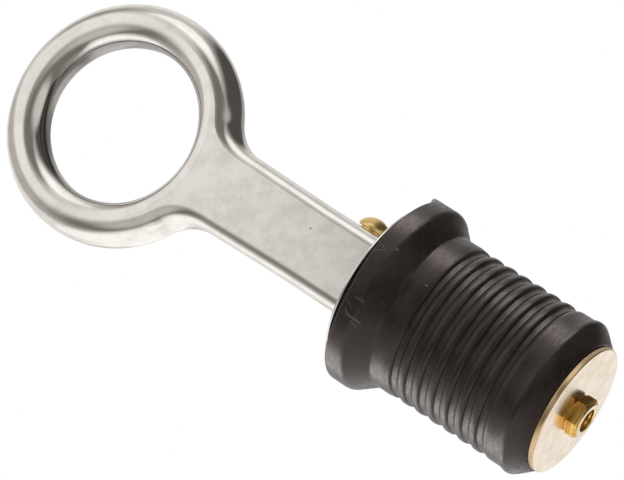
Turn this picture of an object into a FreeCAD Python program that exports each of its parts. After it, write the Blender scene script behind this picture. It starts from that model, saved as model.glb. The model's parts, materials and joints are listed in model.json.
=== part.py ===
import FreeCAD, Part
import math
import os

import Sketcher

# Expansion drain plug with a folding snap handle.
#
# A rubber plug is squeezed endways between two washers. A brass stud runs
# through all three, and a stamped handle with a finger ring turns on a pin in
# the stud's eye. The handle's two flanges are cams that stand on the upper
# washer: folding the handle down draws the stud up, so the rubber bulges.
#
# Millimetres. The origin is on the plug's axis where the barrel meets the
# flare of its head. +Z runs up the axis to the finger ring, X is the pin's
# axis, and the handle's flat face looks towards -Y.

# Alias, size and meaning of each cell of the sheet.
SIZES = (
    ("barrel_radius", 12.15, "rubber barrel, on its bands and rib crests"),
    ("barrel_length", 23.6, "from the end chamfer to the flare of the head"),
    ("chamfer_height", 2.5, "end chamfer, along the axis"),
    ("end_radius", 10.25, "flat lower end of the rubber"),
    ("neck_length", 3.1, "plain band between the head and the first groove"),
    ("groove_count", 7, "grooves that part the ribs"),
    ("groove_pitch", 2.5, "from groove to groove"),
    ("groove_depth", 0.6, "below the rib crests"),
    ("rib_land", 0.3, "flat left on each crest"),
    ("flare_height", 3.0, "cone under the head"),
    ("head_radius", 14.75, "rubber head"),
    ("head_height", 6.2, "from the barrel to the top face"),
    ("head_corner_radius", 1.5, "lower corner of the head"),
    ("head_edge_radius", 0.9, "upper edge of the head"),
    ("top_washer_radius", 13.0, "stainless washer on the head"),
    ("top_washer_thickness", 1.0, "stainless washer on the head"),
    ("end_washer_radius", 10.0, "brass washer on the lower end"),
    ("end_washer_thickness", 0.9, "brass washer on the lower end"),
    ("washer_edge_radius", 0.2, "broken edges of both washers"),
    ("stud_radius", 2.1, "shank of the brass stud"),
    ("thread_radius", 1.7, "threaded end of the stud"),
    ("thread_length", 10.0, "from the shoulder to the stud's end"),
    ("shank_clearance", 0.2, "round the stud in the rubber and washers"),
    ("thread_clearance", 0.03, "round the thread in the nut"),
    ("eye_radius", 2.7, "eye of the stud, round the pin"),
    ("eye_width", 7.8, "eye of the stud, along the pin"),
    ("nut_across_flats", 5.6, "brass nut"),
    ("nut_height", 2.2, "brass nut"),
    ("nut_chamfer", 0.45, "corners of the nut's lower face"),
    ("nut_turn", 8.0, "degrees that the nut is turned from the pin's line"),
    ("stud_recess", 1.1, "from the nut's lower face in to the stud's end"),
    ("pin_radius", 1.5, "pivot pin"),
    ("pin_clearance", 0.06, "round the pin in the stud's eye"),
    ("pin_head_radius", 2.6, "domed head of the pin"),
    ("pin_head_height", 2.35, "domed head of the pin"),
    ("rivet_flare", 0.6, "flush riveted end: its extra radius and its depth"),
    ("sheet_thickness", 1.1, "stamped sheet of the handle"),
    ("front_reach", 4.2, "from the pin's axis to the flat front face"),
    ("channel_depth", 3.9, "from the front face to the rolled back edge"),
    ("edge_radius", 2.35, "rounded outer edge of the stamping"),
    ("hole_edge_radius", 2.1, "rounded edge of the finger hole"),
    ("arm_width_low", 12.4, "arm of the handle at its cams"),
    ("flank_height", 6.0, "from the pin up to where the arm starts to widen"),
    ("arm_width_high", 13.0, "arm of the handle where its fillets start"),
    ("neck_fillet_radius", 6.5, "fillets between arm and ring"),
    ("ring_radius", 18.6, "outside of the finger ring"),
    ("ring_hole_radius", 12.15, "hole of the finger ring"),
    ("ring_to_pin", 42.1, "from the pin's axis to the ring's centre"),
    ("side_shift", -0.55, "how far the handle sits off centre on its pin"),
    ("cam_low", 5.7, "from the pin's axis to the flange's foot"),
    ("cam_rise", 1.9, "lift of the cam for each radian of fold"),
    ("cam_gap", 0.08, "between the cams and the washer"),
    ("heel_length", 1.2, "flat of the heel above the end of the cam"),
    ("heel_radius", 4.5, "rounded top of the heel"),
    ("sweep_radius", 9.0, "hollow curve from the heel to the arm"),
)

FOLD = math.radians(90)
CAM_ARCS = 5
OVERCUT = 2.0


class Size:
    """A size held both as a number and as an expression in the sheet's names."""

    def __init__(self, value, text):
        self.value = value
        self.text = text

    def __add__(self, other):
        other = as_size(other)
        return Size(self.value + other.value, f"({self.text} + {other.text})")

    def __sub__(self, other):
        other = as_size(other)
        return Size(self.value - other.value, f"({self.text} - {other.text})")

    def __mul__(self, other):
        other = as_size(other)
        return Size(self.value * other.value, f"({self.text} * {other.text})")

    def __truediv__(self, other):
        other = as_size(other)
        return Size(self.value / other.value, f"({self.text} / {other.text})")

    def __neg__(self):
        return as_size(0) - self

    def root(self):
        return Size(math.sqrt(self.value), f"sqrt({self.text})")


def as_size(number):
    """A bare number as a size, and a size as it is."""
    if isinstance(number, Size):
        return number
    return Size(float(number), f"{float(number):.10f}")


class Sheet:
    """The spreadsheet, read as one size for each alias."""

    def __init__(self, doc):
        cells = doc.addObject("Spreadsheet::Sheet", "Sizes")
        for row, (alias, value, meaning) in enumerate(SIZES, start=1):
            cells.set(f"A{row}", alias)
            cells.set(f"B{row}", str(value))
            cells.set(f"C{row}", meaning)
            cells.setAlias(f"B{row}", alias)
        doc.recompute()
        for alias, _, _ in SIZES:
            setattr(self, alias, Size(float(cells.get(alias)), f"Sizes.{alias}"))


def bind(thing, prop, size):
    """Ties a property to the sheet."""
    thing.setExpression(prop, as_size(size).text)


def new_body(doc, name, x=0, z=0):
    """An empty body whose own origin stands at (x, 0, z) of the part."""
    body = doc.addObject("PartDesign::Body", name)
    body.Label = name
    bind(body, ".Placement.Base.x", x)
    bind(body, ".Placement.Base.z", z)
    return body


def new_sketch(body, name, role):
    """A sketch on one of the body's own origin planes."""
    sketch = body.newObject("Sketcher::SketchObject", name)
    plane = next(f for f in body.Origin.OriginFeatures if f.Role == role)
    sketch.AttachmentSupport = [(plane, "")]
    sketch.MapMode = "FlatFace"
    return sketch


def fix(sketch, kind, ids, size):
    """Adds a dimension to the sketch and ties it to the sheet."""
    size = as_size(size)
    index = sketch.addConstraint(Sketcher.Constraint(kind, *ids, size.value))
    bind(sketch, f"Constraints[{index}]", size)


def place_point(sketch, edge, end, x, y):
    """Dimensions one end of an edge from the sketch's origin."""
    fix(sketch, "DistanceX", (-1, 1, edge, end), x)
    fix(sketch, "DistanceY", (-1, 1, edge, end), y)


def arc_between(start, end, radius, turns_left):
    """The short arc from start to end, with its centre to the left or the right."""
    chord = end - start
    side = FreeCAD.Vector(-chord.y, chord.x, 0).normalize()
    height = math.sqrt(max(radius**2 - (chord.Length / 2) ** 2, 0))
    centre = (start + end) * 0.5 + side * (height if turns_left else -height)
    first, last = (start, end) if turns_left else (end, start)
    low = math.atan2(first.y - centre.y, first.x - centre.x)
    high = math.atan2(last.y - centre.y, last.x - centre.x)
    if high < low:
        high += 2 * math.pi
    circle = Part.Circle(centre, FreeCAD.Vector(0, 0, 1), radius)
    return Part.ArcOfCircle(circle, low, high)


def closed_outline(sketch, corners):
    """Draws a closed outline.

    Each corner is (x, y), or (x, y, radius, "left" or "right") where an arc of
    that radius leaves it, with its centre on that side of the way along it.
    """
    points = [FreeCAD.Vector(as_size(c[0]).value, as_size(c[1]).value, 0) for c in corners]
    starts = []
    ends = []
    for index, corner in enumerate(corners):
        here, there = points[index], points[(index + 1) % len(points)]
        if len(corner) == 2:
            edge = sketch.addGeometry(Part.LineSegment(here, there), False)
            starts.append((edge, 1))
            ends.append((edge, 2))
            continue
        left = corner[3] == "left"
        arc = arc_between(here, there, as_size(corner[2]).value, left)
        edge = sketch.addGeometry(arc, False)
        starts.append((edge, 1 if left else 2))
        ends.append((edge, 2 if left else 1))
    for index, corner in enumerate(corners):
        following = starts[(index + 1) % len(corners)]
        sketch.addConstraint(Sketcher.Constraint("Coincident", *ends[index], *following))
        place_point(sketch, *starts[index], corner[0], corner[1])
        if len(corner) == 4:
            fix(sketch, "Radius", (starts[index][0],), corner[2])


def circle_at(sketch, radius, x=0, y=0):
    """Draws a dimensioned circle."""
    centre = FreeCAD.Vector(as_size(x).value, as_size(y).value, 0)
    circle = Part.Circle(centre, FreeCAD.Vector(0, 0, 1), as_size(radius).value)
    edge = sketch.addGeometry(circle, False)
    place_point(sketch, edge, 3, x, y)
    fix(sketch, "Radius", (edge,), radius)


def turned(body, name, corners, kind="Revolution", plane="XZ_Plane", axis="V_Axis"):
    """Turns an outline once round an axis of its sketch, to add it or to cut it."""
    sketch = new_sketch(body, name + "_profile", plane)
    closed_outline(sketch, corners)
    feature = body.newObject("PartDesign::" + kind, name)
    feature.Profile = sketch
    feature.ReferenceAxis = (sketch, [axis])
    feature.Angle = 360
    return feature


def pushed(body, name, sketch, ahead, back, kind="Pad"):
    """Pads or pockets a sketch by one length ahead and by another one back."""
    feature = body.newObject("PartDesign::" + kind, name)
    feature.Profile = sketch
    feature.SideType = "Two sides"
    bind(feature, "Length", ahead)
    bind(feature, "Length2", back)
    return feature


def edges_where(feature, wanted):
    """Names of the feature's edges that pass the test."""
    named = enumerate(feature.Shape.Edges, start=1)
    return [f"Edge{number}" for number, edge in named if wanted(edge)]


def rounded(body, name, feature, wanted, radius):
    """Fillets the edges that pass the test."""
    body.Document.recompute()
    names = edges_where(feature, wanted)
    fillet = body.newObject("PartDesign::Fillet", name)
    fillet.Base = (feature, names)
    bind(fillet, "Radius", radius)
    return fillet


def ring_edge(radius, height):
    """A test for the full circle of that radius at that height on the Z axis."""

    def wanted(edge):
        flat = abs(edge.BoundBox.ZMin - height.value) + abs(edge.BoundBox.ZMax - height.value)
        return flat < 1e-4 and abs(edge.BoundBox.XMax - radius.value) < 1e-4

    return wanted


# Rubber plug


def make_rubber_plug(doc, s):
    """The moulded plug: chamfered end, ribbed barrel, flared head, centre bore."""
    body = new_body(doc, "rubber_plug")
    bore = s.stud_radius + s.shank_clearance
    low = -s.barrel_length
    blank = turned(body, "blank", [
        (bore, low - s.chamfer_height),
        (s.end_radius, low - s.chamfer_height),
        (s.barrel_radius, low),
        (s.barrel_radius, 0),
        (s.head_radius, s.flare_height),
        (s.head_radius, s.head_height),
        (bore, s.head_height),
    ])
    corner = ring_edge(s.head_radius, s.flare_height)
    soft_corner = rounded(body, "soft_corner", blank, corner, s.head_corner_radius)
    edge = ring_edge(s.head_radius, s.head_height)
    rounded(body, "soft_edge", soft_corner, edge, s.head_edge_radius)

    # One groove between two rounded ribs, then the rest down the barrel.
    half = (s.groove_pitch - s.rib_land) / 2
    middle = -s.neck_length - half
    rib = (half * half + s.groove_depth * s.groove_depth) / (s.groove_depth * 2)
    groove = turned(body, "groove", [
        (s.barrel_radius, middle + half, rib, "right"),
        (s.barrel_radius - s.groove_depth, middle, rib, "right"),
        (s.barrel_radius, middle - half),
        (s.barrel_radius + OVERCUT, middle - half),
        (s.barrel_radius + OVERCUT, middle + half),
    ], kind="Groove")
    row = body.newObject("PartDesign::LinearPattern", "groove_row")
    row.Originals = [groove]
    row.Direction = (groove.Profile[0], ["V_Axis"])
    row.Reversed = True
    row.Mode = "Extent"
    bind(row, "Occurrences", s.groove_count)
    bind(row, "Length", s.groove_pitch * (s.groove_count - 1))
    body.Tip = row
    return body


# Washers and nut


def make_washer(doc, s, name, radius, thickness, hole, z):
    """A flat washer with broken outer edges, standing on its lower face."""
    body = new_body(doc, name, z=z)
    disc = turned(body, "disc", [
        (hole, 0),
        (radius, 0),
        (radius, thickness),
        (hole, thickness),
    ])

    def outer(edge):
        return abs(edge.BoundBox.XMax - radius.value) < 1e-4 and edge.BoundBox.ZLength < 1e-4

    rounded(body, "broken_edges", disc, outer, s.washer_edge_radius)
    return body


def make_lock_nut(doc, s, z):
    """The hexagon nut under the brass washer, standing on its lower face."""
    body = new_body(doc, "lock_nut", z=z)
    bind(body, ".Placement.Rotation.Angle", s.nut_turn)
    corner = s.nut_across_flats / math.sqrt(3)
    sketch = new_sketch(body, "hexagon", "XY_Plane")
    closed_outline(sketch, [
        (corner * math.cos(math.radians(60 * n)), corner * math.sin(math.radians(60 * n)))
        for n in range(6)
    ])
    pushed(body, "prism", sketch, s.nut_height, 0)

    # The turned chamfer cuts only the corners.
    turned(body, "corner_chamfer", [
        (corner - s.nut_chamfer, -OVERCUT),
        (corner + OVERCUT, -OVERCUT),
        (corner + OVERCUT, s.nut_chamfer + OVERCUT),
        (corner, s.nut_chamfer),
        (corner - s.nut_chamfer, 0),
    ], kind="Groove")
    turned(body, "thread_bore", [
        (0, -OVERCUT),
        (s.thread_radius + s.thread_clearance, -OVERCUT),
        (s.thread_radius + s.thread_clearance, s.nut_height + OVERCUT),
        (0, s.nut_height + OVERCUT),
    ], kind="Groove")
    return body


# Stud and pin


def make_eye_stud(doc, s, z, end):
    """The brass stud, with the pin's axis through its own origin."""
    body = new_body(doc, "eye_stud", z=z)
    shoulder = end + s.thread_length
    turned(body, "shank", [
        (0, end),
        (s.thread_radius, end),
        (s.thread_radius, shoulder),
        (s.stud_radius, shoulder),
        (s.stud_radius, 0),
        (0, 0),
    ])
    barrel = new_sketch(body, "eye_barrel_profile", "YZ_Plane")
    circle_at(barrel, s.eye_radius)
    pushed(body, "eye_barrel", barrel, s.eye_width / 2, s.eye_width / 2)
    hole = new_sketch(body, "eye_hole_profile", "YZ_Plane")
    circle_at(hole, s.pin_radius + s.pin_clearance)
    pushed(body, "eye_hole", hole, s.eye_width, s.eye_width, kind="Pocket")
    return body


def make_pivot_pin(doc, s, x, z):
    """The rivet: domed head on +X, plain shank, and an end riveted flush on -X."""
    body = new_body(doc, "pivot_pin", x=x, z=z)
    grip = s.arm_width_low / 2
    dome = s.pin_head_radius * s.pin_head_radius + s.pin_head_height * s.pin_head_height
    dome = dome / (s.pin_head_height * 2)
    flare = s.pin_radius + s.rivet_flare
    turned(body, "rivet", [
        (-grip, 0),
        (grip + s.pin_head_height, 0, dome, "left"),
        (grip, s.pin_head_radius),
        (grip, s.pin_radius),
        (s.rivet_flare - grip, s.pin_radius),
        (-grip, flare),
    ], axis="H_Axis")
    return body


# Handle


def handle_outline(sketch, s, inset, foot):
    """Outline of arm and ring seen from the front, moved in by the inset."""
    low = s.arm_width_low / 2 - inset
    high = s.arm_width_high / 2 - inset
    ring = s.ring_radius - inset
    fillet = s.neck_fillet_radius + inset
    reach = high.value + fillet.value
    drop = math.sqrt((ring.value + fillet.value) ** 2 - reach**2)
    turn = s.ring_to_pin.value - drop
    lean = math.atan2(drop, reach)
    flank = s.flank_height.value
    point = FreeCAD.Vector
    up = point(0, 0, 1)
    right = Part.Circle(point(reach, turn, 0), up, fillet.value)
    left = Part.Circle(point(-reach, turn, 0), up, fillet.value)
    loop = Part.Circle(point(0, s.ring_to_pin.value, 0), up, ring.value)
    edges = (
        Part.LineSegment(point(-low.value, foot.value, 0), point(low.value, foot.value, 0)),
        Part.LineSegment(point(low.value, foot.value, 0), point(low.value, flank, 0)),
        Part.LineSegment(point(low.value, flank, 0), point(high.value, turn, 0)),
        Part.ArcOfCircle(right, math.pi - lean, math.pi),
        Part.ArcOfCircle(loop, -lean, math.pi + lean),
        Part.ArcOfCircle(left, 0, lean),
        Part.LineSegment(point(-high.value, turn, 0), point(-low.value, flank, 0)),
        Part.LineSegment(point(-low.value, flank, 0), point(-low.value, foot.value, 0)),
    )
    base, flank_side, side, fillet_side, arch, fillet_far, side_far, flank_far = (
        sketch.addGeometry(edge, False) for edge in edges
    )

    # An arc starts at its end 1 and runs anticlockwise to its end 2.
    joins = (
        ("Coincident", base, 2, flank_side, 1),
        ("Coincident", flank_side, 2, side, 1),
        ("Tangent", side, 2, fillet_side, 2),
        ("Tangent", fillet_side, 1, arch, 1),
        ("Tangent", arch, 2, fillet_far, 2),
        ("Tangent", fillet_far, 1, side_far, 1),
        ("Coincident", side_far, 2, flank_far, 1),
        ("Coincident", flank_far, 2, base, 1),
    )
    for join in joins:
        sketch.addConstraint(Sketcher.Constraint(*join))
    place_point(sketch, base, 1, -low, foot)
    place_point(sketch, base, 2, low, foot)
    place_point(sketch, side, 1, low, s.flank_height)
    place_point(sketch, side_far, 2, -low, s.flank_height)
    place_point(sketch, arch, 3, 0, s.ring_to_pin)
    fix(sketch, "Radius", (arch,), ring)
    fix(sketch, "Radius", (fillet_side,), fillet)
    fix(sketch, "Radius", (fillet_far,), fillet)
    fix(sketch, "DistanceX", (-1, 1, side, 2), high)
    fix(sketch, "DistanceX", (-1, 1, side_far, 1), -high)


def cam_corners(s):
    """The working edge of a flange, seen along the pin, from foot to heel.

    The edge's distance from the pin, square to the washer, grows evenly with
    the fold, and so does its radius of curvature. A few arcs, each with the
    radius of the middle of its stretch, follow it closely.
    """
    step = FOLD / CAM_ARCS
    y, z = s.cam_rise, -s.cam_low
    corners = []
    for n in range(CAM_ARCS):
        radius = s.cam_low + s.cam_rise * (step * (n + 0.5))
        corners.append((y, z, radius, "left"))
        across = math.sin(step * (n + 1)) - math.sin(step * n)
        up = math.cos(step * n) - math.cos(step * (n + 1))
        y = y + radius * across
        z = z + radius * up
    return corners, y, z


def bend_test(s, reach, of_hole):
    """A test for the edges to round in the plane that lies the reach in front of the pin.

    They are the hole's circle, or the outline but for the straight cut of its foot.
    """

    def wanted(edge):
        box = edge.BoundBox
        in_plane = abs(box.YMin + reach.value) + box.YLength < 1e-4
        return in_plane and box.ZMax > -s.cam_low.value + 1e-4 and edge.isClosed() == of_hole

    return wanted


def make_handle(doc, s, x, z):
    """The stamped handle, with the pin's axis through its own origin."""
    body = new_body(doc, "handle", x=x, z=z)
    cams, heel_y, heel_z = cam_corners(s)
    back = s.channel_depth - s.front_reach
    deep = heel_y + OVERCUT

    # Outside of the stamping, as deep as its cams.
    front = new_sketch(body, "front_outline", "XZ_Plane")
    handle_outline(front, s, as_size(0), -s.cam_low)
    circle_at(front, s.ring_hole_radius, 0, s.ring_to_pin)
    blank = pushed(body, "blank", front, s.front_reach, deep)

    rim = rounded(body, "drawn_rim", blank, bend_test(s, s.front_reach, False), s.edge_radius)
    rounded(body, "drawn_hole", rim, bend_test(s, s.front_reach, True), s.hole_edge_radius)

    # Hollow of the channel, open at the back and at the foot.
    hollow = new_sketch(body, "hollow_outline", "XZ_Plane")
    handle_outline(hollow, s, s.sheet_thickness, -s.cam_low - OVERCUT)
    circle_at(hollow, s.ring_hole_radius + s.sheet_thickness, 0, s.ring_to_pin)
    floor = s.front_reach - s.sheet_thickness
    channel = pushed(body, "channel", hollow, deep + OVERCUT, floor, kind="Pocket")

    inner = s.edge_radius - s.sheet_thickness
    inner_rim = rounded(body, "inner_rim", channel, bend_test(s, floor, False), inner)
    inner = s.hole_edge_radius - s.sheet_thickness
    rounded(body, "inner_hole", inner_rim, bend_test(s, floor, True), inner)

    # Side view: cams, heels, and the sweep up to the channel's even depth.
    drop = heel_y - back
    both = s.heel_radius + s.sweep_radius
    cosine = as_size(1) - drop / both
    sine = (as_size(1) - cosine * cosine).root()
    heel_top = heel_z + s.heel_length
    meet_y = heel_y - s.heel_radius * (as_size(1) - cosine)
    meet_z = heel_top + s.heel_radius * sine
    arm_start = heel_top + both * sine
    crown = s.ring_to_pin + s.ring_radius + OVERCUT
    sole = -s.cam_low - OVERCUT
    side = new_sketch(body, "side_outline", "YZ_Plane")
    closed_outline(side, cams + [
        (heel_y, heel_z),
        (heel_y, heel_top, s.heel_radius, "left"),
        (meet_y, meet_z, s.sweep_radius, "right"),
        (back, arm_start),
        (back, crown),
        (deep + OVERCUT, crown),
        (deep + OVERCUT, sole),
        (s.cam_rise, sole),
    ])
    pushed(body, "side_cut", side, s.ring_radius * 2, s.ring_radius * 2, kind="Pocket")

    # Holes for the pin, the far one countersunk for the riveted end.
    hole = new_sketch(body, "pin_hole_profile", "YZ_Plane")
    circle_at(hole, s.pin_radius)
    pushed(body, "pin_holes", hole, s.arm_width_low, s.arm_width_low, kind="Pocket")
    grip = s.arm_width_low / 2
    turned(body, "countersink", [
        (-grip - OVERCUT, 0),
        (s.rivet_flare - grip, 0),
        (s.rivet_flare - grip, s.pin_radius),
        (-grip, s.pin_radius + s.rivet_flare),
        (-grip - OVERCUT, s.pin_radius + s.rivet_flare + OVERCUT),
    ], kind="Groove", axis="H_Axis")
    return body


def build(doc):
    """Builds every piece in its place and returns their bodies."""
    s = Sheet(doc)
    washer_top = s.head_height + s.top_washer_thickness
    pin_height = washer_top + s.cam_gap + s.cam_low
    rubber_end = -s.barrel_length - s.chamfer_height
    washer_end = rubber_end - s.end_washer_thickness
    nut_end = washer_end - s.nut_height
    top_hole = s.stud_radius + s.shank_clearance
    end_hole = s.thread_radius + s.shank_clearance
    return [
        make_rubber_plug(doc, s),
        make_washer(doc, s, "top_washer", s.top_washer_radius, s.top_washer_thickness,
                    top_hole, s.head_height),
        make_washer(doc, s, "end_washer", s.end_washer_radius, s.end_washer_thickness,
                    end_hole, washer_end),
        make_lock_nut(doc, s, nut_end),
        make_eye_stud(doc, s, pin_height, nut_end + s.stud_recess - pin_height),
        make_pivot_pin(doc, s, s.side_shift, pin_height),
        make_handle(doc, s, s.side_shift, pin_height),
    ]


def check(doc, bodies):
    """Stops if a feature failed or a piece is not one sound solid."""
    for thing in doc.Objects:
        if "Invalid" in thing.State or "Error" in thing.State:
            raise RuntimeError(f"{thing.Name} failed: {thing.State}")
    for body in bodies:
        shape = body.Shape
        if shape.isNull() or not shape.isValid() or len(shape.Solids) != 1:
            raise RuntimeError(f"{body.Label} is not one valid solid")


def main():
    doc = FreeCAD.newDocument("expansion_plug")
    bodies = build(doc)
    doc.recompute()
    check(doc, bodies)
    os.makedirs("parts", exist_ok=True)
    for body in bodies:
        body.Shape.exportStep(f"parts/{body.Label}.step")
        box = body.Shape.BoundBox
        print(f"{body.Label}: {body.Shape.Volume:.1f} mm3, z {box.ZMin:.2f} to {box.ZMax:.2f}")


main()
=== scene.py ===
"""Looks of an expansion drain plug with a folding snap handle.

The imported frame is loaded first, and every piece is then modelled in its own
place round it: the moulded rubber, two washers, nut, stud, pin and the stamped
handle. Metres throughout. The origin is on the plug's axis where the barrel
meets the flare of its head, +Z runs up to the finger ring, X is the pin's axis,
and the handle's flat face looks towards -Y.
"""

import json
import logging
import math
from dataclasses import dataclass
from enum import Enum
from functools import partial
from typing import Callable, NamedTuple, Sequence

import bpy
from mathutils import Matrix, Quaternion, Vector

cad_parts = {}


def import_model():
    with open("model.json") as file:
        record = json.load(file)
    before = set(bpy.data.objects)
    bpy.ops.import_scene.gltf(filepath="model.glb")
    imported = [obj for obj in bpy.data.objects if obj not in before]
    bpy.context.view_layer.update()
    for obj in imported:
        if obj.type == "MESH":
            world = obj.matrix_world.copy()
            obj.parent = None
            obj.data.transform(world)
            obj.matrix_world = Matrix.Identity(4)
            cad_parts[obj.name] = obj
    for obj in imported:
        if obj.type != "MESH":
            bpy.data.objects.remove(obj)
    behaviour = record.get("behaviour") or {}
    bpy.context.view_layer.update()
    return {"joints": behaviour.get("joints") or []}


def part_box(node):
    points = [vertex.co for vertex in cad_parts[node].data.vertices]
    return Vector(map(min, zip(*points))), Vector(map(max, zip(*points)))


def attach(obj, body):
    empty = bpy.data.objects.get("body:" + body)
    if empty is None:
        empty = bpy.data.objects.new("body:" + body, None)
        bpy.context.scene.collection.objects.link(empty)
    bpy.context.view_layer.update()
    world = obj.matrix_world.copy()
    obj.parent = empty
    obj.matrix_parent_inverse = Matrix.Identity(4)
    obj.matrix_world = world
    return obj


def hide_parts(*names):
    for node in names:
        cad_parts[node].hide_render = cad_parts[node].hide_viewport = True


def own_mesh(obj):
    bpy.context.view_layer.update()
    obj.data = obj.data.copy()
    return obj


MM = 0.001
WELD = 0.001 * MM
LOG = logging.getLogger("plug")

Point = tuple[float, float]
Place = tuple[float, float, float]
Colour = tuple[float, float, float]


class Axis(Enum):
    """The line that a turned piece is turned about."""

    PLUG = (0.0, 0.0, 1.0)
    PIN = (1.0, 0.0, 0.0)


class Body(Enum):
    """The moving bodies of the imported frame."""

    PLUG = "plug"
    STUD = "stud"
    HANDLE = "handle"


class Slot(Enum):
    """The record's material slots."""

    RUBBER = "rubber"
    STAINLESS = "stainless"
    BRASS = "brass"


# Work at the bench


SELECT = partial(bpy.ops.mesh.select_all, action="SELECT")
DESELECT = partial(bpy.ops.mesh.select_all, action="DESELECT")
FACE_OUT = partial(bpy.ops.mesh.normals_make_consistent, inside=False)


def make_active(piece: bpy.types.Object) -> None:
    """Selects one object alone and makes it the active one.

    Args:
        piece: The object to work on.
    """
    bpy.ops.object.select_all(action="DESELECT")
    piece.select_set(True)
    bpy.context.view_layer.objects.active = piece


def start(name: str, add: Callable[..., object], **settings: object) -> bpy.types.Object:
    """Adds an object with nothing else selected.

    Args:
        name: The new object's name.
        add: The operator that adds it.
        settings: Settings of that operator.

    Returns:
        The new object.
    """
    bpy.ops.object.select_all(action="DESELECT")
    add(**settings)
    made = bpy.context.object
    made.name = name
    return made


def edit(piece: bpy.types.Object, *steps: Callable[[], object]) -> None:
    """Runs mesh operators on an object in edit mode.

    Args:
        piece: The object to work on.
        steps: The operators, each called with no argument.
    """
    make_active(piece)
    bpy.ops.object.mode_set(mode="EDIT")
    for step in steps:
        step()
    bpy.ops.object.mode_set(mode="OBJECT")


def apply_modifier(piece: bpy.types.Object, kind: str, **settings: object) -> None:
    """Adds a modifier, sets it up and applies it.

    Args:
        piece: The object to change.
        kind: The modifier's type.
        settings: Values of its properties.
    """
    make_active(piece)
    modifier = piece.modifiers.new(kind.title(), kind)
    for name, value in settings.items():
        setattr(modifier, name, value)
    bpy.ops.object.modifier_apply(modifier=modifier.name)


def break_edges(piece: bpy.types.Object, width: float, angle: float) -> None:
    """Breaks the sharp edges of a mesh with small round bevels.

    Args:
        piece: The object to change.
        width: The bevels' width.
        angle: The least turn of a sharp edge, in degrees.
    """
    apply_modifier(piece, "BEVEL", width=width, segments=2, limit_method="ANGLE",
                   angle_limit=math.radians(angle))


def cut(piece: bpy.types.Object, tool: bpy.types.Object, operation: str = "DIFFERENCE") -> None:
    """Joins a piece and a tool by a boolean modifier, and clears the tool away.

    Args:
        piece: The object to change.
        tool: The closed mesh that cuts it.
        operation: The modifier's operation.
    """
    apply_modifier(piece, "BOOLEAN", object=tool, operation=operation, solver="EXACT")
    bpy.data.objects.remove(tool)


def smooth(piece: bpy.types.Object, angle: float = 32.0) -> None:
    """Shades a mesh smooth, but for its sharp edges.

    Args:
        piece: The object to shade.
        angle: The least turn of a sharp edge, in degrees.
    """
    make_active(piece)
    bpy.ops.object.shade_smooth_by_angle(angle=math.radians(angle))


def join(first: bpy.types.Object, other: bpy.types.Object) -> bpy.types.Object:
    """Joins a mesh into the first one.

    Args:
        first: The object that stays.
        other: The object that goes into it.

    Returns:
        The first object.
    """
    make_active(first)
    other.select_set(True)
    bpy.ops.object.join()
    return first


def arc(centre: Point, radius: float, begin: float, end: float, steps: int) -> list[Point]:
    """Points along an arc of an outline, both ends included.

    Args:
        centre: The arc's centre.
        radius: Its radius.
        begin: The angle of its first point, in degrees.
        end: The angle of its last point, in degrees.
        steps: How many chords it has.

    Returns:
        The points in order.
    """
    turns = [math.radians(begin + (end - begin) * n / steps) for n in range(steps + 1)]
    return [(centre[0] + radius * math.cos(t), centre[1] + radius * math.sin(t)) for t in turns]


def lathe(name: str, outline: Sequence[Point], steps: int, axis: Axis = Axis.PLUG,
          centre: Vector = Vector()) -> bpy.types.Object:
    """Turns a closed outline once round an axis.

    Args:
        name: The new object's name.
        outline: Points as (radius, distance along the axis).
        steps: How many facets go round.
        axis: The line to turn about.
        centre: A point on that line, from which the distances are measured.

    Returns:
        The turned solid.
    """
    piece = start(name, bpy.ops.mesh.primitive_circle_add, vertices=len(outline),
                  fill_type="NOTHING")
    along = Vector(axis.value)
    across = Vector((1, 0, 0)) if axis is Axis.PLUG else Vector((0, 0, 1))
    for vertex, (radius, distance) in zip(piece.data.vertices, outline):
        vertex.co = centre + across * radius + along * distance
    edit(
        piece,
        SELECT,
        partial(bpy.ops.mesh.spin, steps=steps, angle=math.tau, center=centre, axis=along),
        SELECT,
        partial(bpy.ops.mesh.remove_doubles, threshold=WELD),
        partial(bpy.ops.mesh.dissolve_degenerate, threshold=WELD / 2),
        bpy.ops.mesh.delete_loose,
        SELECT,
        FACE_OUT,
    )
    return piece


def drill(piece: bpy.types.Object, radius: float, reach: float, centre: Vector) -> None:
    """Drills a hole for the pin through a piece.

    Args:
        piece: The piece.
        radius: The hole's radius.
        reach: How far it runs either way.
        centre: A point on its axis.
    """
    outline = [(0, -reach), (radius, -reach), (radius, reach), (0, reach)]
    cut(piece, lathe("drill", outline, 48, Axis.PIN, centre))


def wind_thread(name: str, root: float, crest: float, pitch: float, turns: int,
                height: float) -> bpy.types.Object:
    """Winds the ridge of a thread up the plug's axis.

    Args:
        name: The new object's name.
        root: The radius of its foot, inside the metal.
        crest: The radius of its crest.
        pitch: How far each turn climbs.
        turns: How many turns it makes.
        height: Where it starts.

    Returns:
        The wound ridge, closed at both ends.
    """
    facets = 40
    section = ((root, 0), (crest, 0.42), (crest, 0.52), (root, 0.94))
    ridge = start(name, bpy.ops.mesh.primitive_circle_add, vertices=len(section),
                  fill_type="NOTHING")
    for vertex, (radius, share) in zip(ridge.data.vertices, section):
        vertex.co = (radius, 0, height + pitch * share)
    apply_modifier(ridge, "SCREW", axis="Z", angle=math.tau, screw_offset=pitch,
                   iterations=turns, steps=facets, render_steps=facets,
                   use_merge_vertices=False)
    edit(ridge, partial(bpy.ops.mesh.select_mode, type="EDGE"), DESELECT,
         bpy.ops.mesh.select_non_manifold, bpy.ops.mesh.fill, SELECT, FACE_OUT)
    return ridge


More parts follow.
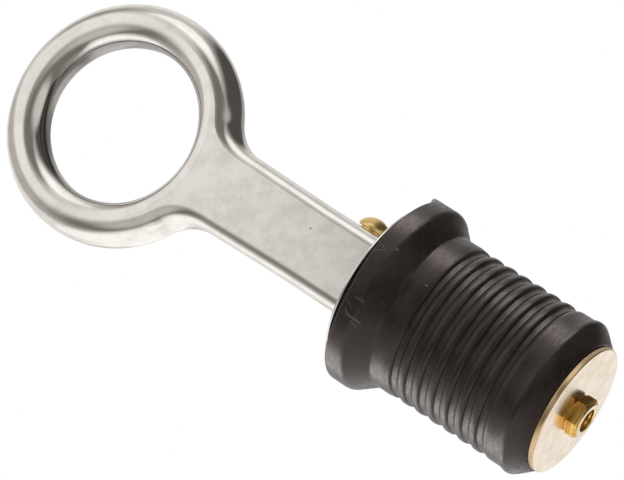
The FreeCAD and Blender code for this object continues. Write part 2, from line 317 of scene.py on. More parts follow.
def fit(piece: bpy.types.Object, material: bpy.types.Material, body: Body,
        node: str) -> None:
    """Dresses a finished piece and hands it over to the frame.

    Args:
        piece: The finished mesh, in its place.
        material: Its finish.
        body: The body that it moves with.
        node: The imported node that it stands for.
    """
    piece.data.materials.clear()
    piece.data.materials.append(material)
    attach(piece, body.value)
    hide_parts(node)
    LOG.info("%s rides on %s with %d faces", piece.name, body.value, len(piece.data.polygons))


# Viewpoint


@dataclass(frozen=True)
class Viewpoint:
    """Where the photograph was taken from, and what it shows at a place in it.

    A program fitted these angles and distances to the photographed outlines.

    Attributes:
        aim: The point in the middle of the picture.
        distance: How far from it the camera stands.
        azimuth: The camera's direction round the plug from -Y, in degrees.
        elevation: Its rise over the level, in degrees.
        roll: Its turn about its own axis, in degrees.
        lens: Its focal length, in millimetres as the sensor's width.
        picture: The width and height of the photograph, in pixels.
    """

    aim: Place = (0.237 * MM, 0.607 * MM, 20.517 * MM)
    distance: float = 463.03 * MM
    azimuth: float = -1.7353
    elevation: float = -22.498
    roll: float = -57.254
    lens: float = 184.512
    sensor: float = 36.0
    picture: Point = (624.0, 480.0)

    def back(self) -> Vector:
        """The direction from the object back to the camera."""
        turn, rise = math.radians(self.azimuth), math.radians(self.elevation)
        return Vector((math.sin(turn) * math.cos(rise), -math.cos(turn) * math.cos(rise),
                       math.sin(rise)))

    def eye(self) -> Vector:
        """The camera's place."""
        return Vector(self.aim) + self.back() * self.distance

    def turn(self) -> Quaternion:
        """The camera's turn in the frame."""
        level = (-self.back()).to_track_quat("-Z", "Y")
        return level @ Quaternion((0, 0, 1), math.radians(self.roll))

    def find(self, piece: bpy.types.Object, pixel: Point) -> Vector:
        """Finds the point of a piece that shows at a place in the picture.

        Args:
            piece: The finished mesh, in its place.
            pixel: The place, in pixels from the picture's upper left corner.

        Returns:
            The point in the frame.

        Raises:
            ValueError: The piece doesn't show there.
        """
        wide, high = self.picture
        focal = self.lens / self.sensor * wide
        sight = Vector((pixel[0] - wide / 2, high / 2 - pixel[1], -focal)).normalized()
        found, point, _, _ = piece.ray_cast(self.eye(), self.turn() @ sight)
        if not found:
            raise ValueError(f"{piece.name} doesn't show at {pixel}")
        return point


VIEW = Viewpoint()


# Finishes


class Nodes:
    """A node tree that is put together node by node."""

    def __init__(self, tree: bpy.types.NodeTree, place: str) -> None:
        """Takes up a tree.

        Args:
            tree: The node tree of a material or of the world.
            place: The coordinates that its patterns follow.
        """
        self.tree = tree
        self.place = self.node("TexCoord").outputs[place]

    def node(self, kind: str, settings: dict[str, object] | None = None,
             **inputs: object) -> bpy.types.Node:
        """Adds a node.

        Args:
            kind: The node's type, without its prefix.
            settings: Values of the node's own properties.
            inputs: A value or another node's socket for each named input.

        Returns:
            The new node.
        """
        made = self.tree.nodes.new("ShaderNode" + kind)
        for name, value in (settings or {}).items():
            setattr(made, name, value)
        for name, value in inputs.items():
            self.feed(made.inputs[name], value)
        return made

    def feed(self, socket: bpy.types.NodeSocket, value: object) -> None:
        """Sets a socket to a value, or joins another socket to it."""
        if isinstance(value, bpy.types.NodeSocket):
            self.tree.links.new(value, socket)
        else:
            socket.default_value = value

    def noise(self, grain: float, detail: float = 3.0, stretch: Vector | None = None,
              roughness: float = 0.55) -> bpy.types.NodeSocket:
        """A noise pattern on the object's own coordinates.

        Args:
            grain: The size of its spots, in metres.
            detail: How many finer layers it has.
            stretch: Factors by which the pattern is packed along each axis.
            roughness: How strong the finer layers are.

        Returns:
            The pattern's value, about 0.5 on average.
        """
        place = self.place
        if stretch:
            place = self.node("Mapping", Vector=place, Scale=stretch).outputs["Vector"]
        pattern = self.node("TexNoise", Vector=place, Scale=1 / grain, Detail=detail,
                            Roughness=roughness)
        return pattern.outputs["Fac"]

    def ramp(self, value: bpy.types.NodeSocket, low: float, high: float, to_low: float,
             to_high: float) -> bpy.types.NodeSocket:
        """Spreads a range of a value over another range, smoothly.

        Args:
            value: What is read.
            low: The reading at which the ramp starts.
            high: The reading at which it ends.
            to_low: The result up to the low reading.
            to_high: The result from the high reading on.

        Returns:
            The result.
        """
        spread = self.node("MapRange", {"interpolation_type": "SMOOTHSTEP"})
        for index, number in enumerate((value, low, high, to_low, to_high)):
            self.feed(spread.inputs[index], number)
        return spread.outputs["Result"]

    def math(self, operation: str, *values: object) -> bpy.types.NodeSocket:
        """Works out one sum.

        Args:
            operation: The math node's operation.
            values: Its numbers or sockets.

        Returns:
            The result.
        """
        made = self.node("Math", {"operation": operation})
        for socket, value in zip(made.inputs, values):
            self.feed(socket, value)
        return made.outputs[0]

    def mix(self, share: object, first: object, second: object) -> bpy.types.NodeSocket:
        """Mixes two colours.

        Args:
            share: How much of the second colour shows.
            first: A colour or a socket.
            second: A colour or a socket.

        Returns:
            The mixed colour.
        """
        made = self.node("Mix", {"data_type": "RGBA"})
        for index, value in ((0, share), (6, first), (7, second)):
            self.feed(made.inputs[index], value)
        return made.outputs[2]

    def distance(self, point: Vector, along: Place = (1, 1, 1)) -> bpy.types.NodeSocket:
        """How far the pattern's coordinates are from a point.

        Args:
            point: The point.
            along: 1 for each axis that counts, and 0 for the others.

        Returns:
            The distance.
        """
        flat = self.node("VectorMath", {"operation": "MULTIPLY"})
        self.feed(flat.inputs[0], self.place)
        self.feed(flat.inputs[1], along)
        made = self.node("VectorMath", {"operation": "DISTANCE"})
        self.feed(made.inputs[0], flat.outputs["Vector"])
        self.feed(made.inputs[1], point * Vector(along))
        return made.outputs["Value"]


class Shader(Nodes):
    """A material with a principled surface."""

    def __init__(self, name: str) -> None:
        """Starts the material.

        Args:
            name: The material's name.
        """
        self.material = bpy.data.materials.new(name)
        self.material.use_nodes = True
        super().__init__(self.material.node_tree, "Object")
        self.surface = self.tree.nodes["Principled BSDF"].inputs

    def bump(self, height: bpy.types.NodeSocket, depth: float,
             under: bpy.types.NodeSocket | None = None) -> bpy.types.NodeSocket:
        """Raises the surface by a pattern.

        Args:
            height: The pattern, from 0 to 1.
            depth: How high a value of 1 stands, in metres.
            under: Another bump that it lies on.

        Returns:
            The bent normal.
        """
        made = self.node("Bump", Height=height, Distance=depth, Strength=1.0)
        if under:
            self.feed(made.inputs["Normal"], under)
        return made.outputs["Normal"]

    def finish(self, **inputs: object) -> bpy.types.Material:
        """Feeds the surface and hands the material over.

        Args:
            inputs: A value or a socket for each input, with _ in its name for a space.

        Returns:
            The material.
        """
        for name, value in inputs.items():
            self.feed(self.surface[name.replace("_", " ")], value)
        return self.material


def rgba(colour: Colour) -> tuple[float, float, float, float]:
    """A colour with full opacity."""
    return (*colour, 1.0)


@dataclass(frozen=True)
class TumbledSteel:
    """Stainless steel with the fine mottled finish that tumbling leaves.

    Attributes:
        hole: A point on the axis of the finger hole, along Y, whose wall gets painted shade for the
            dark surroundings that it mirrors.
        hole_radius: The radius up to which that painted shade reaches.
        nick: The place of a small dark nick in the flat face.
    """

    name: str = "tumbled_steel"
    bright: Colour = (0.82, 0.785, 0.745)
    dull: Colour = (0.74, 0.705, 0.66)
    pit: Colour = (0.52, 0.48, 0.43)
    # Painted shade laid on the finger hole's wall.
    painted_hole_shade: Colour = (0.25, 0.235, 0.22)
    dark: Colour = (0.05, 0.045, 0.04)
    roughness: Point = (0.08, 0.13)
    mottle: float = 3.2 * MM
    grain: float = 0.17 * MM
    grain_depth: float = 0.0005 * MM
    hole: Vector | None = None
    hole_radius: float = 12.5 * MM
    hole_fade: float = 0.35 * MM
    nick: Vector | None = None
    nick_size: Point = (0.08 * MM, 0.26 * MM)

    def material(self) -> bpy.types.Material:
        """Makes the steel's material."""
        shader = Shader(self.name)
        mottle = shader.noise(self.mottle, 5, roughness=0.7)
        grain = shader.noise(self.grain, 2)
        share = shader.ramp(mottle, 0.38, 0.66, 0, 1)
        colour = shader.mix(share, rgba(self.bright), rgba(self.dull))
        pits = shader.ramp(grain, 0.64, 0.74, 0, 0.35)
        colour = shader.mix(pits, colour, rgba(self.pit))
        # Painted shade: the finger hole's wall is darkened in colour, standing in for the dark
        # surroundings that it mirrors.
        if self.hole:
            out = shader.distance(self.hole, along=(1, 0, 1))
            near = shader.ramp(out, self.hole_radius, self.hole_radius + self.hole_fade, 0.85, 0)
            colour = shader.mix(near, colour, rgba(self.painted_hole_shade))
        if self.nick:
            mark = shader.ramp(shader.distance(self.nick), *self.nick_size, 0.6, 0)
            colour = shader.mix(mark, colour, rgba(self.dark))
        return shader.finish(Base_Color=colour, Normal=shader.bump(grain, self.grain_depth),
                             Roughness=shader.ramp(mottle, 0.35, 0.7, *self.roughness),
                             Metallic=1.0)


@dataclass(frozen=True)
class Scratch:
    """A fine pale curved scratch on the rubber, or a speck where it has only one point.

    Attributes:
        seen: Its first, middle and last point in the photograph, in pixels.
        half: Half of the length that shows.
        width: Its width.
        strength: How clearly it shows.
    """

    seen: tuple[Point, ...]
    half: float
    width: float = 0.08 * MM
    strength: float = 0.5

    def circle(self, piece: bpy.types.Object) -> tuple[Vector, Vector]:
        """Lays the scratch's points on the rubber, and a circle through them.

        Args:
            piece: The finished rubber.

        Returns:
            The scratch's middle and the circle's centre, which is there too for a speck.
        """
        points = [VIEW.find(piece, pixel) for pixel in self.seen]
        if len(points) == 1:
            return points[0], points[0]
        first, middle, last = points
        near, far = middle - first, last - first
        normal = near.cross(far)
        inward = normal.cross(near) * far.length_squared + far.cross(normal) * near.length_squared
        return middle, first + inward / (2 * normal.length_squared)

    def cover(self, shader: Shader, wear: bpy.types.NodeSocket,
              piece: bpy.types.Object) -> bpy.types.NodeSocket:
        """How much of the surface the scratch covers.

        Args:
            shader: The rubber's shader.
            wear: The pattern that breaks the scratch up.
            piece: The finished rubber.

        Returns:
            The share, from 0 to 1.
        """
        middle, centre = self.circle(piece)
        near = shader.ramp(shader.distance(middle), self.half * 0.7, self.half * 1.05, 1, 0)
        off = shader.math("SUBTRACT", shader.distance(centre), (middle - centre).length)
        line = shader.ramp(shader.math("ABSOLUTE", off), self.width * 0.2, self.width * 0.8, 1, 0)
        worn = shader.ramp(wear, 0.3, 0.6, 0.4, self.strength * 2)
        share = shader.math("MULTIPLY", shader.math("MULTIPLY", near, line), worn)
        return shader.math("MINIMUM", share, 1.0)


SCRATCHES = (
    Scratch(((346.6, 312.2), (351.9, 317.5), (366.8, 322.9)), 1.7 * MM, strength=0.35),
    Scratch(((349.5, 320.5), (353.5, 324.5), (356.5, 329.0)), 0.84 * MM, strength=0.35),
    Scratch(((353.8, 297.0), (359.5, 299.5), (363.0, 304.0)), 0.94 * MM, strength=0.5),
    Scratch(((360.5, 296.3), (362.8, 299.0), (363.8, 302.8)), 0.5 * MM, strength=0.6),
    Scratch(((347.0, 300.5), (350.0, 304.5), (352.5, 309.5)), 0.78 * MM, strength=0.3),
    Scratch(((372.0, 251.2), (379.5, 249.8), (387.0, 251.0)), 1.0 * MM, strength=0.4),
    Scratch(((380.5, 243.0), (382.5, 245.0), (383.5, 248.0)), 0.5 * MM, strength=0.3),
    Scratch(((397.0, 249.5),), 0.22 * MM, 0.5 * MM, strength=0.25),
    Scratch(((426.5, 285.5),), 0.18 * MM, 0.5 * MM, strength=0.5),
)


@dataclass(frozen=True)
class MouldedRubber:
    """Black satin rubber with a brownish bloom, a little dust and a few scratches."""

    black: Colour = (0.0150, 0.0105, 0.0092)
    bloom: Colour = (0.027, 0.0205, 0.018)
    dust: Colour = (0.16, 0.15, 0.14)
    gloss: float = 0.42
    gloss_tint: Colour = (1.0, 0.84, 0.78)
    roughness: Point = (0.24, 0.40)
    patch: float = 5 * MM
    grain: float = 0.25 * MM
    grain_depth: float = 0.016 * MM
    speck: float = 0.55 * MM
    drawn: float = 1.0 * MM

    def material(self, piece: bpy.types.Object) -> bpy.types.Material:
        """Makes the rubber's material.

        Args:
            piece: The finished rubber, on which the scratches are laid.

        Returns:
            The material.
        """
        shader = Shader("moulded_rubber")
        patch = shader.noise(self.patch, 6, roughness=0.62)
        grain = shader.noise(self.grain, 3)
        speck = shader.noise(self.speck, 0)
        drawn = shader.noise(self.drawn, 4, Vector((0.6, 0.6, 2)), 0.7)
        colour = shader.mix(shader.ramp(patch, 0.42, 0.70, 0, 0.8), rgba(self.black),
                            rgba(self.bloom))
        colour = shader.mix(shader.ramp(speck, 0.83, 0.87, 0, 0.45), colour, rgba(self.dust))
        for scratch in SCRATCHES:
            colour = shader.mix(scratch.cover(shader, grain, piece), colour, rgba(self.dust))
        rough = shader.math("ADD", shader.math("MULTIPLY", patch, 0.5), drawn)
        return shader.finish(Base_Color=colour, Normal=shader.bump(grain, self.grain_depth),
                             Roughness=shader.ramp(rough, 0.6, 0.9, *self.roughness),
                             Specular_IOR_Level=self.gloss, Specular_Tint=rgba(self.gloss_tint))


@dataclass(frozen=True)
class Brass:
    """Brass, from the pale sheet of a washer to the yellow of turned parts.

    Attributes:
        edge: The colour of a washer's cut edge, or of a nut's end, laid on from edge_from outwards.
        edge_from: The distance from the origin from which it starts.
        edge_along: 1 for each axis along which that distance is measured.
        turning: How far apart the marks of the lathe's tool are, up the plug's axis.
        turning_depth: How deep they are.
        shade: The colour of their bottoms, a painted shade.
    """

    name: str
    bright: Colour
    dull: Colour
    roughness: Point
    patch: float = 1.6 * MM
    grain: float = 0.12 * MM
    grain_depth: float = 0.0008 * MM
    edge: Colour | None = None
    edge_from: float = 0.0
    edge_along: Place = (1, 1, 0)
    turning: float = 0.0
    turning_depth: float = 0.06 * MM
    # Painted shade for the bottoms of the lathe marks.
    shade: Colour = (0.50, 0.27, 0.06)

    def material(self) -> bpy.types.Material:
        """Makes the brass's material."""
        shader = Shader(self.name)
        patch = shader.noise(self.patch, 5, roughness=0.65)
        grain = shader.noise(self.grain, 2)
        colour = shader.mix(shader.ramp(patch, 0.38, 0.66, 0, 1), rgba(self.bright),
                            rgba(self.dull))
        normal = shader.bump(grain, self.grain_depth)
        # A plain colour laid on from edge_from outwards: browner on the washer's rim, paler on the
        # nut's end.
        if self.edge:
            out = shader.distance(Vector(), self.edge_along)
            rim = shader.ramp(out, self.edge_from - 0.05 * MM, self.edge_from, 0, 1)
            colour = shader.mix(rim, colour, rgba(self.edge))
        if self.turning:
            marks = shader.noise(self.turning, 1, Vector((0.02, 0.02, 1)))
            normal = shader.bump(marks, self.turning_depth, normal)
            # Painted shade: the lathe marks are darkened in colour along their bottoms.
            colour = shader.mix(shader.ramp(marks, 0.42, 0.58, 0, 0.75), colour,
                                rgba(self.shade))
        return shader.finish(Base_Color=colour, Normal=normal, Metallic=1.0,
                             Roughness=shader.ramp(patch, 0.3, 0.7, *self.roughness))


# Rubber plug


# Down one groove: share of its depth, and height over its middle in millimetres
GROOVE = ((0, 1.12), (0.05, 0.95), (0.22, 0.78), (0.55, 0.66), (0.95, 0.59), (1, 0.52),
          (1, 0.20), (0.98, -0.06), (0.93, -0.20), (0.90, -0.27), (0.84, -0.34),
          (0.62, -0.50), (0.38, -0.66), (0.17, -0.83), (0.04, -1.0), (0, -1.18))

# Down the end of the barrel: share of the bead, and height over that end
BEAD = ((0, 2.6), (0, 1.25), (0.35, 0.9), (0.8, 0.6), (1, 0.3), (0.9, 0), (0.35, -0.25),
        (-0.6, -0.55))


@dataclass
class RubberPlug:
    """The moulded rubber: flared head, ribbed barrel, chamfered end and centre bore.

    Attributes:
        neck: How far the barrel's upper end stands out from the ribs.
        line: How far under a groove's middle the fine line in its floor lies.
        skew: How far the crease under the head rises to the right.
        anchor: Not used; the height that would stay where it is if the rubber were squeezed.
        seat: The radius of the raised seat of the washer.
        moat: The height of the hollow round that seat.
        dip_at: The angle at which the head's rim lies lowest, in degrees.
        lip_at: The angle of the middle of the lip.
        squeezed: Not used; the share of its length that the squeezed rubber would keep.
    """

    bore: float = 2.3 * MM
    barrel: float = 12.15 * MM
    barrel_length: float = 23.6 * MM
    end: float = 10.25 * MM
    chamfer: float = 2.5 * MM
    neck: float = 0.08 * MM
    grooves: int = 7
    pitch: float = 2.5 * MM
    first_groove: float = -4.31 * MM
    groove_depth: float = 0.40 * MM
    line: float = 0.27 * MM
    line_depth: float = 0.055 * MM
    bead: float = 0.22 * MM
    skew: float = 0.28 * MM
    skew_reach: float = 1.1 * MM
    flare: float = 3.0 * MM
    head: float = 14.75 * MM
    anchor: float = 6.2 * MM
    seat: float = 11.6 * MM
    seat_height: float = 6.83 * MM
    rim_height: float = 6.08 * MM
    moat: float = 5.6 * MM
    dip: float = 0.42 * MM
    dip_at: float = -108.0
    dip_spread: float = 26.0
    lip: float = 1.45 * MM
    lip_at: float = 4.0
    lip_half: float = 9.0
    lip_fade: float = 9.0
    corner: float = 1.5 * MM
    edge: float = 0.35 * MM
    crease: float = 0.6 * MM
    facets: int = 180
    squeezed: float = 0.907

    def outline(self) -> list[Point]:
        """The section of the rubber, from the top of its bore round and back."""
        top = self.rim_height
        lean = math.degrees(math.atan2(self.flare, self.head - self.barrel))
        side = 90 - lean
        shift = self.corner * math.tan(math.radians(side / 2))
        points = [(self.bore, self.seat_height), (self.seat, self.seat_height),
                  (self.seat + 0.2 * MM, self.moat), (self.head - 1.25 * MM, self.moat),
                  (self.head - 0.95 * MM, top - 0.1 * MM), (self.head - 0.8 * MM, top)]
        points += arc((self.head - self.edge, top - self.edge), self.edge, 90, 0, 8)
        points += arc((self.head - self.corner, self.flare + shift), self.corner, 0, -side, 6)
        neck = self.barrel + self.neck
        points += [(neck + self.crease * 0.45, self.crease * 0.5),
                   (neck + self.crease * 0.1, self.crease * 0.12),
                   (neck, -self.crease * 0.4), (neck, -1.6 * MM), (neck + 0.02 * MM, -2.6 * MM)]
        for n in range(self.grooves):
            middle = self.first_groove - n * self.pitch
            points += [(self.barrel - self.groove_depth * deep, middle + height * MM)
                       for deep, height in GROOVE]
        low = -self.barrel_length
        points += [(self.barrel + self.bead * share, low + height * MM) for share, height in BEAD]
        points += [(self.end + 0.15 * MM, low - self.chamfer + 0.1 * MM),
                   (self.end - 0.1 * MM, low - self.chamfer), (self.bore, low - self.chamfer)]
        return points

    def score(self, point: Vector, angle: float) -> None:
        """Sinks a point of the fine line in a groove's floor, deeper on one side.

        Args:
            point: A point of the rubber.
            angle: Where it stands round the plug, in degrees.
        """
        floor = self.barrel - self.groove_depth
        below = (self.first_groove - point.z) % self.pitch
        if abs(below - self.line) < 0.01 * MM and point.to_2d().length < floor + 0.1 * MM:
            share = 0.25 + math.exp(-(((angle + 50) / 32) ** 2)) + 0.5 * math.sin(angle * 0.37) ** 4
            point.xy *= 1 - self.line_depth * min(share, 1) / floor

    def skew_neck(self, point: Vector) -> None:
        """Moves a point with the crease under the head, which runs a little askew.

        Args:
            point: A point of the rubber.
        """
        if point.to_2d().length > self.barrel - self.groove_depth:
            share = math.exp(-((point.z / self.skew_reach) ** 2))
            point.z += self.skew * share * point.x / self.barrel

    def shape_rim(self, point: Vector, angle: float) -> None:
        """Moves a point of the head's rim, which dips in front and has a lip on its right.

        Args:
            point: A point of the rubber.
            angle: Where it stands round the plug, in degrees.
        """
        low = self.flare + 0.6 * MM
        if point.z >= low and point.to_2d().length >= self.head - 1.0 * MM:
            dip = self.dip * math.exp(-(((angle - self.dip_at) / self.dip_spread) ** 2))
            past = max(abs(angle - self.lip_at) - self.lip_half, 0)
            lip = self.lip * math.exp(-((past / self.lip_fade) ** 2))
            ragged = 1 + 0.04 * math.sin(angle * 1.9)
            climb = min((point.z - low) / (self.rim_height - low), 1)
            point.z += (lip * ragged - dip) * climb

    def build(self) -> None:
        """Models the rubber, dresses it and puts it on the frame."""
        piece = lathe("rubber", self.outline(), self.facets)
        for vertex in piece.data.vertices:
            point = vertex.co
            angle = math.degrees(math.atan2(point.y, point.x))
            self.score(point, angle)
            self.skew_neck(point)
            self.shape_rim(point, angle)
        smooth(piece, 38)
        bpy.context.view_layer.update()
        fit(piece, MouldedRubber().material(piece), Body.PLUG, "rubber_plug")
        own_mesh(piece)


# Washers, nut and stud


@dataclass
class Washer:
    """A flat washer with softly broken outer edges."""

    name: str
    node: str
    body: Body
    slot: Slot
    finish: TumbledSteel | Brass
    hole: float
    edge: float
    thickness: float
    facets: int = 160

    def build(self) -> None:
        """Turns the washer to the size and place of its node."""
        _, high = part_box(self.node)
        radius = high.x
        low = high.z - self.thickness
        outline = [(self.hole, high.z), (self.hole, low)]
        outline += arc((radius - self.edge, low + self.edge), self.edge, -90, 0, 5)
        outline += arc((radius - self.edge, high.z - self.edge), self.edge, 0, 90, 5)
        piece = lathe(self.name, outline, self.facets)
        smooth(piece)
        fit(piece, self.finish.material(), self.body, self.node)


@dataclass
class LockNut:
    """The small hexagon nut under the brass washer, with its thread.

    Attributes:
        seat_chamfer: How far the chamfer on the washer's side goes in and up.
        shift: How far the nut sits to one side of the axis.
    """

    flats: float = 5.4 * MM
    chamfer: float = 0.62 * MM
    seat_chamfer: Point = (0.4 * MM, 0.45 * MM)
    bore: float = 1.74 * MM
    countersink: float = 0.12 * MM
    pitch: float = 0.5 * MM
    thread_depth: float = 0.06 * MM
    soft_edge: float = 0.08 * MM
    shift: float = -0.2 * MM
    facets: int = 72

    def build(self, finish: Brass) -> None:
        """Models the nut with its bore and the ridge of its thread.

        Args:
            finish: The brass that it is turned from.
        """
        low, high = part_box("lock_nut")
        height = high.z - low.z
        corner = self.flats / math.sqrt(3)
        piece = start("nut", bpy.ops.mesh.primitive_cylinder_add, vertices=6, radius=corner,
                      depth=height)
        lift = Vector((0, 0, low.z + height / 2))
        for vertex in piece.data.vertices:
            vertex.co.rotate(Quaternion((0, 0, 1), math.radians(30)))
            vertex.co += lift
        spare = 0.1 * MM
        inward, upward = self.seat_chamfer
        blank = [(0, low.z), (corner - self.chamfer, low.z),
                 (corner + spare, low.z + (self.chamfer + spare) * 0.8),
                 (corner + spare, high.z - upward), (corner - inward, high.z), (0, high.z)]
        cut(piece, lathe("nut_blank", blank, self.facets), "INTERSECT")
        over = 1 * MM
        bore = [(0, low.z - over), (self.bore + self.countersink + over, low.z - over),
                (self.bore, low.z + self.countersink), (self.bore, high.z + over),
                (0, high.z + over)]
        cut(piece, lathe("nut_bore", bore, self.facets))
        break_edges(piece, self.soft_edge, 35)
        turns = int((height - 0.35 * MM) / self.pitch) - 1
        join(piece, wind_thread("nut_thread", self.bore + 0.05 * MM, self.bore - self.thread_depth,
                                self.pitch, turns, low.z + 0.3 * MM))
        for vertex in piece.data.vertices:
            vertex.co.x += self.shift
        smooth(piece)
        fit(piece, finish.material(), Body.STUD, "lock_nut")


@dataclass
class EyeStud:
    """The brass stud: its eye round the pin, its shank and its threaded end."""

    shank: float = 2.1 * MM
    thread: float = 1.62 * MM
    thread_length: float = 10.0 * MM
    eye: float = 2.7 * MM
    eye_width: float = 7.8 * MM
    eye_edge: float = 0.25 * MM
    pin: float = 1.56 * MM
    pitch: float = 0.55 * MM
    thread_depth: float = 0.08 * MM
    end_chamfer: float = 0.3 * MM
    facets: int = 64

    def build(self, finish: Brass, pin_height: float) -> None:
        """Models the stud.

        Args:
            finish: The brass that it is turned from.
            pin_height: The height of the pin's axis.
        """
        low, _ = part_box("eye_stud")
        shoulder = low.z + self.thread_length
        outline = [(0, low.z), (self.thread - self.end_chamfer, low.z),
                   (self.thread, low.z + self.end_chamfer), (self.thread, shoulder),
                   (self.shank, shoulder + 0.2 * MM), (self.shank, pin_height), (0, pin_height)]
        piece = lathe("stud", outline, self.facets)
        middle = Vector((0, 0, pin_height))
        half = self.eye_width / 2
        soft = self.eye_edge
        eye = [(0, -half), (self.eye - soft, -half), (self.eye, soft - half),
               (self.eye, half - soft), (self.eye - soft, half), (0, half)]
        cut(piece, lathe("stud_eye", eye, self.facets, Axis.PIN, middle), "UNION")
        drill(piece, self.pin, self.eye_width, middle)
        turns = int((self.thread_length - 1 * MM) / self.pitch)
        join(piece, wind_thread("stud_thread", self.thread - 0.05 * MM,
                                self.thread + self.thread_depth, self.pitch, turns,
                                low.z + self.end_chamfer))
        smooth(piece)
        fit(piece, finish.material(), Body.STUD, "eye_stud")


# Handle and pin


@dataclass
class PivotPin:
    """The rivet: domed head, collar, plain shank and an end spread in its countersink."""

    shank: float = 1.5 * MM
    head: float = 2.48 * MM
    dome: float = 1.50 * MM
    rim: float = 0.50 * MM
    rim_edge: float = 0.08 * MM
    collar: float = 1.9 * MM
    collar_height: float = 0.32 * MM
    flare: float = 0.6 * MM
    proud: float = 0.06 * MM

    def build(self, finish: Brass, pin_height: float, middle: float, grip: float) -> None:
        """Turns the rivet.

        Args:
            finish: The brass that it is made of.
            pin_height: The height of its axis.
            middle: The middle of the handle's arm, across it.
            grip: Half of the arm's width.
        """
        base = grip + self.collar_height
        crown = base + self.rim
        radius = (self.head**2 + self.dome**2) / (2 * self.dome)
        spread = math.degrees(math.asin(self.head / radius))
        dome = arc((crown + self.dome - radius, 0), radius, spread, 0, 12)
        end = -grip - self.proud
        outline = [(0, end), (self.shank + self.flare * 0.7, -grip - self.proud * 0.6),
                   (self.shank + self.flare, -grip), (self.shank, self.flare - grip),
                   (self.shank, grip), (self.collar, grip), (self.collar, base),
                   (self.head - self.rim_edge, base), (self.head, base + self.rim_edge)]
        outline += [(across, along) for along, across in dome]
        piece = lathe("pin", outline, 64, Axis.PIN, Vector((middle, 0, pin_height)))
        smooth(piece)
        fit(piece, finish.material(), Body.HANDLE, "pivot_pin")


def blended(first: Point, second: Point, share: float) -> Point:
    """Passes smoothly from one pair of sizes to another.

    Args:
        first: The pair at a share of 0 and less.
        second: The pair at a share of 1 and more.
        share: How far between them.

    Returns:
        The pair there.
    """
    share = min(max(share, 0.0), 1.0)
    share = share * share * (3 - 2 * share)
    return tuple(a + (b - a) * share for a, b in zip(first, second))


class Station(NamedTuple):
    """A place on the handle's outline, seen from the front.

    Attributes:
        across: Its distance from the middle of the arm.
        height: Its height over the pin.
        outward: The direction out of the sheet there.
        bend: How far the bend takes up the face, and how deep it is.
        back: The place along Y of the turned edge's end.
    """

    across: float
    height: float
    outward: Vector
    bend: Point
    back: float


